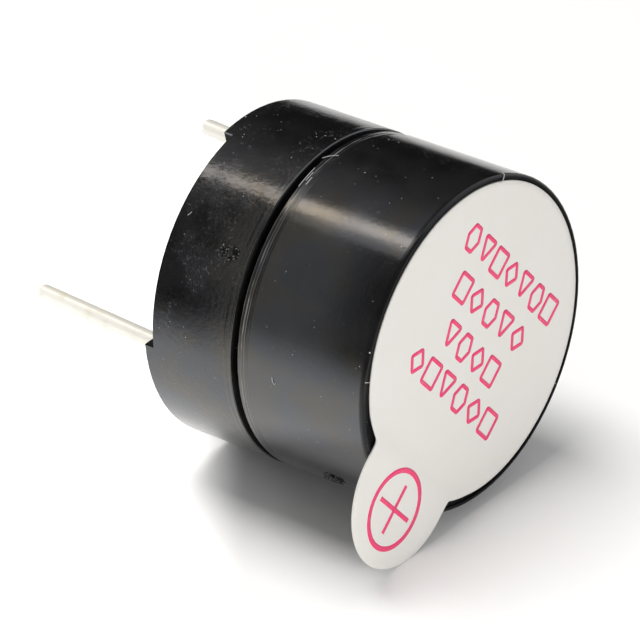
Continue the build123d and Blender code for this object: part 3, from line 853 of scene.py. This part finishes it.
def film_mesh(count=540, rings=26):
    """Closed sheet of film with softly cut edges, over the sound hole and out onto the tab."""
    edge = LABEL_THICKNESS / 2
    profile = [(ring / rings, 0.0, 1.0) for ring in range(1, rings)]
    profile += [(1.0, -edge * (1 - sin(radians(turn))), 0.5 + 0.5 * cos(radians(turn)))
                for turn in (20, 55, 90, 125, 160)]
    profile += [(ring / rings, 0.0, 0.0) for ring in range(rings - 1, 0, -1)]
    points = []
    for share, inset, level in profile:
        for step in range(count):
            angle = tau * step / count
            reach = share * label_reach(angle) + inset
            along, across = reach * cos(angle), reach * sin(angle)
            points.append(on_label(along, across, label_underside(along, across) + level * LABEL_THICKNESS))
    faces = rings_joined(len(profile), count)
    head, foot = len(points), len(points) + 1
    points += [on_label(0, 0, label_top(0, 0)), on_label(0, 0, label_underside(0, 0))]
    last = (len(profile) - 1) * count
    for step in range(count):
        after = (step + 1) % count
        faces.append((head, step, after))
        faces.append((foot, last + after, last + step))
    return mesh_from("seal_film", points, faces)


def scar_mesh(name, angle, height, width, tall, seed, count=40, rings=16):
    """Torn gate: a low uneven crater with a raised lip, closed behind inside the wall."""
    raggedness = 0.22
    lip_height = 0.045
    lip_swell = 0.05
    tear_height = 0.07
    points = []
    for ring in range(1, rings + 1):
        share = ring / rings
        for step in range(count):
            turn = tau * step / count
            lobe = 1 + raggedness * noise.noise(Vector((2.2 * cos(turn), 2.2 * sin(turn), seed)))
            across, up = share * lobe * width / 2 * cos(turn), share * lobe * tall / 2 * sin(turn)
            lip = lip_height + lip_swell * sin(pi * min(share, 0.95)) * share
            torn = tear_height * noise.fractal(Vector((across * 6, up * 6, seed)), 0.6, 2.2, 4)
            lift = (lip + torn) * min(1.0, 3.5 * (1 - share)) - 0.03 * (share > 0.99)
            points.append(on_side(angle + across / CASE_RADIUS, height + up, CASE_RADIUS + lift))
    front = len(points)
    points.append(on_side(angle, height, CASE_RADIUS + 0.05))
    points.append(on_side(angle, height, CASE_RADIUS - 0.2))
    faces = [(front, step, (step + 1) % count) for step in range(count)]
    faces += rings_joined(rings, count)
    last = (rings - 1) * count
    faces += [(front + 1, last + (step + 1) % count, last + step) for step in range(count)]
    return mesh_from(name, points, faces)


class BUZZER_OT_case(bpy.types.Operator):
    """Gives both shells their black plastic"""
    bl_idname = "buzzer.case"
    bl_label = "Case Shells"

    def execute(self, context):
        settings = context.scene.buzzer_case
        dress("upper_shell", black_moulding("upper_moulding", settings, TURNED_ABOVE_SEAM, UPPER_SKIN))
        dress("lower_shell", black_moulding("lower_moulding", settings, TURNED_BELOW_SEAM, LOWER_SKIN))
        return {"FINISHED"}


class BUZZER_OT_gate_scars(bpy.types.Operator):
    """Adds the torn gates on the sides of both shells"""
    bl_idname = "buzzer.gate_scars"
    bl_label = "Gate Scars"

    def execute(self, context):
        settings = context.scene.buzzer_case
        finish = torn_plastic()
        width, tall = settings.scar_width / MM, settings.scar_height / MM
        for name, angle, height, seed in GATE_SCARS:
            scar = scar_mesh(name, radians(angle), height, width, tall, seed)
            put_on_case(scar, name, finish, "case_plastic")
        return {"FINISHED"}


class BUZZER_OT_dust(bpy.types.Operator):
    """Strews dust over the case, adds the flake and the fibres that cling to it, and lays pale strands that
    paint glints beside the seam
    """
    bl_idname = "buzzer.dust"
    bl_label = "Dust and Fibres"

    def execute(self, context):
        settings = context.scene.buzzer_case
        finish = grained("dust_and_seam_glints", settings.dust[:], (0.4, 0.4, 0.39, 1), (0.5, 0.8), 6.0, 40.0)
        strew = dust_tree()
        for name, low, high, further in DUST_BANDS:
            specks = grow(strew, side_band(low, high), {
                "Density": DUST_PER_SQUARE_MM / MM ** 2, "Speck Size": settings.speck,
                "Seed": settings.seed + further, "Finish": finish}, name)
            put_on_case(specks, name, finish, "case_plastic")
        # This piece also holds the pale strands beside the seam: painted glints in the dust colour.
        mesh = grow(strand_tree(), fibre_and_glint_layout(), {
            "Strand Radius": FIBRE_RADIUS * MM, "Sides": 6, "Finish": finish}, "fibres")
        put_on_case(mesh, "fibres", finish, "case_plastic")
        return {"FINISHED"}


class BUZZER_OT_label(bpy.types.Operator):
    """Lays the peel-off seal in the top face, with its tab over the rim"""
    bl_idname = "buzzer.label"
    bl_label = "Seal Film"

    def execute(self, context):
        settings = context.scene.buzzer_label
        put_on_case(film_mesh(), "seal_film", seal_film(settings), "label_film", "seal_label")
        return {"FINISHED"}


class BUZZER_OT_label_print(bpy.types.Operator):
    """Prints the rows of marks and the ringed plus on the seal"""
    bl_idname = "buzzer.label_print"
    bl_label = "Printed Marks"

    def execute(self, context):
        settings = context.scene.buzzer_label
        ink = print_ink(settings)
        tree = print_tree()
        height = settings.mark_height / MM - settings.row_stroke / MM
        for name, layout, stroke, corner in (
                ("printed_rows", row_layout(height), settings.row_stroke, MARK_CORNER),
                ("printed_ring", ring_layout(settings.ring_radius / MM), settings.ring_stroke, 0.0),
                ("printed_plus", plus_layout(*PLUS_LENGTHS), settings.row_stroke * PLUS_STROKE_SHARE, 0.0)):
            mesh = grow(tree, layout, {
                "Stroke Width": stroke, "Ink Thickness": settings.ink_thickness,
                "Corner Radius": corner * MM, "Finish": ink}, name)
            put_on_case(mesh, name, ink, "label_film")
        return {"FINISHED"}


class BUZZER_OT_pins(bpy.types.Operator):
    """Plates both pins and fills the joints above them"""
    bl_idname = "buzzer.pins"
    bl_label = "Pins and Joints"

    def execute(self, context):
        tin = plated_pin(context.scene.buzzer_metal)
        dress("positive_pin", tin)
        dress("negative_pin", tin)
        solder = grained(
            "solder", (0.5, 0.5, 0.49, 1), (0.72, 0.72, 0.7, 1), (0.16, 0.36), 3.0, 22.0, 0.006, 1.0)
        dress("pin_solder", solder)
        dress("lead_solder", solder)
        return {"FINISHED"}


class BUZZER_OT_drive(bpy.types.Operator):
    """Winds the coil and finishes the magnet, the steel parts and the diaphragm"""
    bl_idname = "buzzer.drive"
    bl_label = "Coil and Magnet"

    def execute(self, context):
        settings = context.scene.buzzer_metal
        wire = lacquered_wire(settings)
        turns = grow(strand_tree(), coil_layout(settings.wire / MM), {
            "Strand Radius": settings.wire / 2, "Sides": 6, "Finish": wire}, "wound_coil")
        put_on_case(turns, "wound_coil", wire, "enamelled_wire", "coil")
        dress("coil_leads", wire)
        dress("ring_magnet", grained(
            "ferrite", (0.035, 0.034, 0.036, 1), (0.09, 0.088, 0.092, 1), (0.4, 0.65), 4.0, 26.0, 0.01))
        dress("core_pole", turned_steel("pole_steel", (0.6, 0.59, 0.57, 1), 0.28))
        dress("yoke_plate", turned_steel("yoke_steel", (0.56, 0.55, 0.53, 1), 0.34))
        dress("diaphragm", turned_steel("diaphragm_steel", (0.66, 0.66, 0.67, 1), 0.18))
        dress("diaphragm_weight", turned_steel("weight_steel", (0.62, 0.6, 0.56, 1), 0.26))
        return {"FINISHED"}


class BUZZER_OT_board(bpy.types.Operator):
    """Finishes the circuit board, its chips and the resin poured over them"""
    bl_idname = "buzzer.board"
    bl_label = "Board and Resin"

    def execute(self, context):
        dress("circuit_board", board_laminate())
        dress("copper_tracks", grained(
            "track_copper", (0.62, 0.25, 0.13, 1), (0.8, 0.42, 0.26, 1), (0.22, 0.42), 1.4, 24.0, 0.002, 1.0))
        dress("transistor_body", grained(
            "chip_plastic", (0.018, 0.018, 0.019, 1), (0.035, 0.034, 0.033, 1), (0.45, 0.65), 3.0, 30.0,
            0.008))
        plate = grained(
            "tin_plate", (0.6, 0.6, 0.58, 1), (0.78, 0.77, 0.74, 1), (0.2, 0.4), 2.5, 26.0, 0.003, 1.0)
        dress("transistor_leads", plate)
        dress("resistor_caps", plate)
        dress("resistor_body", grained(
            "chip_ceramic", (0.03, 0.03, 0.032, 1), (0.5, 0.49, 0.46, 1), (0.3, 0.5), 1.2, 28.0, 0.004))
        dress("potting", potting_resin())
        return {"FINISHED"}


# ---------------------------------------------------------------- stage

def facing(direction, distance):
    """Turn and place for a lamp or card that faces the middle of the case from a direction."""
    back = direction.normalized()
    right = Vector((0, 0, 1)).cross(back).normalized()
    top = back.cross(right)
    turn = Matrix((right, top, back)).transposed().to_4x4()
    return Matrix.Translation((CASE_MIDDLE + back * distance) * MM) @ turn


def seen_directly(tree):
    """1 for what the camera sees, also in a reflection or through glass, and the glossy share of it."""
    ray = add(tree, "ShaderNodeLightPath").outputs
    mirrored = maths(tree, "MAXIMUM", ray["Is Glossy Ray"], ray["Is Transmission Ray"])
    return maths(tree, "MAXIMUM", ray["Is Camera Ray"], mirrored), ray["Is Glossy Ray"]


def floor_finish(settings):
    """White floor, clear from below, whose glow is painted light that grows toward the pins' side and washes
    out their shadow there.
    """
    material = bpy.data.materials.new("white_floor")
    material.use_nodes = True
    tree = material.node_tree
    tree.nodes.clear()
    seen, glossy = seen_directly(tree)
    matt = add(tree, "ShaderNodeBsdfDiffuse", {"Color": settings.floor[:]})
    along = add(tree, "ShaderNodeSeparateXYZ", links={0: millimetres(tree)}).outputs[0]
    # Painted light: faint beside the case, the glow grows toward the pins' side; reflections see it a little
    # stronger.
    bright = ramp(tree, along, *GLOW_PLACES, *GLOW_STRENGTHS)
    bright = maths(tree, "MULTIPLY_ADD", glossy, MIRRORED_GLOW, bright)
    glow = add(tree, "ShaderNodeEmission", {"Color": (1, 1, 1, 1)},
               {"Strength": maths(tree, "MULTIPLY", seen, bright)})
    lit = add(tree, "ShaderNodeAddShader", links={0: matt.outputs[0], 1: glow.outputs[0]})
    clear = add(tree, "ShaderNodeBsdfTransparent")
    behind = add(tree, "ShaderNodeNewGeometry").outputs["Backfacing"]
    both = add(tree, "ShaderNodeMixShader", links={0: behind, 1: lit.outputs[0], 2: clear.outputs[0]})
    add(tree, "ShaderNodeOutputMaterial", links={0: both.outputs[0]})
    return material


def card_finish(name):
    """Dull black card; returns the material, its tree and its shader."""
    material, tree, shader = new_finish(name)
    shader.inputs["Base Color"].default_value = (0.01, 0.01, 0.01, 1)
    shader.inputs["Roughness"].default_value = 1.0
    shader.inputs["Specular IOR Level"].default_value = 0.0
    return material, tree, shader


def reflection_glow_finish(width):
    """Black card that glows more from its middle toward one end; seen only in reflections, it paints a soft
    pale flank beside the highlight on the case.
    """
    material, tree, shader = card_finish("reflection_glow_card")
    along = add(tree, "ShaderNodeSeparateXYZ", links={0: millimetres(tree)}).outputs[0]
    shader.inputs["Emission Color"].default_value = (1, 1, 1, 1)
    tree.links.new(ramp(tree, along, 0.0, width / 2, 0.0, HIGH_CARD_GLOW), shader.inputs["Emission Strength"])
    return material


def side_reflection_finish():
    """Dim glowing card, brightest at the heights that the middle of the case reflects, fading out to one
    side; seen only in reflections, it paints the grey reflection on the case's side.
    """
    material = bpy.data.materials.new("side_reflection_card")
    material.use_nodes = True
    tree = material.node_tree
    tree.nodes.clear()
    along, across, height = add(tree, "ShaderNodeSeparateXYZ", links={0: millimetres(tree)}).outputs
    level = maths(tree, "MULTIPLY", ramp(tree, height, *FOOT_FADE), ramp(tree, height, *HEAD_FADE, 0.03, 1.0))
    dim = maths(tree, "MULTIPLY", level, SIDE_CARD_GLOW)
    glow = add(tree, "ShaderNodeEmission", {"Color": (1, 1, 1, 1)}, {"Strength": dim})
    clear = add(tree, "ShaderNodeBsdfTransparent")
    later = ramp(tree, height, *LATE_CLEARING)
    angle = maths(tree, "SUBTRACT", maths(tree, "ARCTAN2", across, along), later)
    faded = ramp(tree, angle, *CLEARING)
    both = add(tree, "ShaderNodeMixShader", links={0: faded, 1: glow.outputs[0], 2: clear.outputs[0]})
    add(tree, "ShaderNodeOutputMaterial", links={0: both.outputs[0]})
    return material


def put_on_stage(mesh, name, matrix, material):
    """Makes a mesh a part of the studio."""
    mesh.materials.append(material)
    holder = bpy.data.objects.new(name, mesh)
    holder.matrix_world = matrix
    bpy.context.scene.collection.objects.link(holder)
    return holder


def flat_card(name, matrix, width, height, material):
    """Rectangle of the studio, in millimetres."""
    half_width, half_height = width / 2, height / 2
    corners = [(-half_width, -half_height, 0), (half_width, -half_height, 0),
               (half_width, half_height, 0), (-half_width, half_height, 0)]
    return put_on_stage(mesh_from(name, corners, [(0, 1, 2, 3)]), name, matrix, material)


def facing_card(name, spot, material):
    """Flat card that faces the middle of the case."""
    direction, distance, width, height = spot
    return flat_card(name, facing(direction, distance), width, height, material)


def bent_card(name, span, material, count=24):
    """Card bent round the case axis, between two angles and two heights."""
    (first, last), heights = span
    turns = [radians(first + (last - first) * step / count) for step in range(count + 1)]
    points = [on_side(turn, height, CARD_BEND) for height in heights for turn in turns]
    faces = [(step, step + 1, count + 2 + step, count + 1 + step) for step in range(count)]
    return put_on_stage(mesh_from(name, points, faces), name, Matrix(), material)


def area_lamp(name, spot, power, mirrored):
    """Rectangular lamp that faces the case; mirrored says whether the case reflects it."""
    direction, distance, width, height, colour = spot
    lamp = bpy.data.lights.new(name, "AREA")
    lamp.shape = "RECTANGLE"
    lamp.size, lamp.size_y = width * MM, height * MM
    lamp.energy = power
    lamp.color = colour
    holder = bpy.data.objects.new(name, lamp)
    holder.matrix_world = facing(direction, distance)
    bpy.context.scene.collection.objects.link(holder)
    holder.visible_camera = False
    holder.visible_glossy = mirrored


def room_light(strength):
    """White surroundings; the light on matt surfaces has its own strength."""
    world = bpy.data.worlds.new("studio")
    world.use_nodes = True
    tree = world.node_tree
    ground = tree.nodes["Background"]
    ground.inputs["Color"].default_value = (1, 1, 1, 1)
    seen, _ = seen_directly(tree)
    level = maths(tree, "MULTIPLY_ADD", seen, 1 - strength, strength)
    tree.links.new(level, ground.inputs["Strength"])
    bpy.context.scene.world = world


class BUZZER_OT_stage(bpy.types.Operator):
    """Sets up the floor, the lamps, the surroundings and the camera"""
    bl_idname = "buzzer.stage"
    bl_label = "Studio"

    def execute(self, context):
        settings = context.scene.buzzer_stage
        up = FLOOR_UP.normalized()
        side = up.cross(CAMERA_BACK).normalized()
        turn = Matrix((side, up.cross(side), up)).transposed().to_4x4()
        place = Matrix.Translation(-up * settings.floor_drop) @ turn
        flat_card("floor", place, FLOOR_SIZE, FLOOR_SIZE, floor_finish(settings))
        black, _, _ = card_finish("black_card")
        # Seen only in reflections, the cards paint dark and glowing reflections on the case; they neither
        # light nor shade it.
        for card in (
                facing_card("high_card", HIGH_CARD, reflection_glow_finish(HIGH_CARD[2])),
                facing_card("camera_card", CAMERA_CARD, black),
                bent_card("side_card", SIDE_CARD, side_reflection_finish()),
                bent_card("low_card", LOW_CARD, black)):
            card.visible_camera = card.visible_diffuse = card.visible_shadow = False
        area_lamp("strip_lamp", STRIP_LAMP, settings.strip, True)
        area_lamp("key_lamp", KEY_LAMP, settings.key, False)
        area_lamp("fill_lamp", FILL_LAMP, settings.fill, False)
        room_light(settings.daylight)
        lens = bpy.data.cameras.new("camera")
        lens.sensor_width = SENSOR_WIDTH
        lens.lens = settings.lens
        lens.clip_start = 10 * MM
        camera = bpy.data.objects.new("camera", lens)
        turn = Matrix((CAMERA_RIGHT, CAMERA_UP, CAMERA_BACK)).transposed().to_4x4()
        camera.matrix_world = Matrix.Translation(CAMERA_PLACE * MM) @ turn
        context.scene.collection.objects.link(camera)
        context.scene.camera = camera
        context.scene.view_settings.view_transform = "Standard"
        return {"FINISHED"}


OPERATORS = [
    BUZZER_OT_case, BUZZER_OT_gate_scars, BUZZER_OT_dust, BUZZER_OT_label, BUZZER_OT_label_print,
    BUZZER_OT_pins, BUZZER_OT_drive, BUZZER_OT_board, BUZZER_OT_stage,
]


class BUZZER_PT_parts(bpy.types.Panel):
    """Lists the parts of the buzzer and their settings"""
    bl_idname = "BUZZER_PT_parts"
    bl_label = "Round Buzzer"
    bl_space_type = "VIEW_3D"
    bl_region_type = "UI"
    bl_category = "Buzzer"

    def draw(self, context):
        scene = context.scene
        for group in (scene.buzzer_case, scene.buzzer_label, scene.buzzer_metal, scene.buzzer_stage):
            box = self.layout.box()
            for name in group.__annotations__:
                box.prop(group, name)
        for operator in OPERATORS:
            self.layout.operator(operator.bl_idname)


SETTINGS = {
    "buzzer_case": CaseSettings,
    "buzzer_label": LabelSettings,
    "buzzer_metal": MetalSettings,
    "buzzer_stage": StageSettings,
}
CLASSES = [*SETTINGS.values(), *OPERATORS, BUZZER_PT_parts]


def register():
    """Registers the classes and gives each scene the settings."""
    for each in CLASSES:
        bpy.utils.register_class(each)
    for name, group in SETTINGS.items():
        setattr(bpy.types.Scene, name, PointerProperty(type=group))


def unregister():
    """Takes the settings and the classes away again."""
    for name in SETTINGS:
        delattr(bpy.types.Scene, name)
    for each in reversed(CLASSES):
        bpy.utils.unregister_class(each)


def main():
    """Builds every part in order."""
    register()
    for operator in OPERATORS:
        family, name = operator.bl_idname.split(".")
        getattr(getattr(bpy.ops, family), name)()


if __name__ == "__main__":
    main()
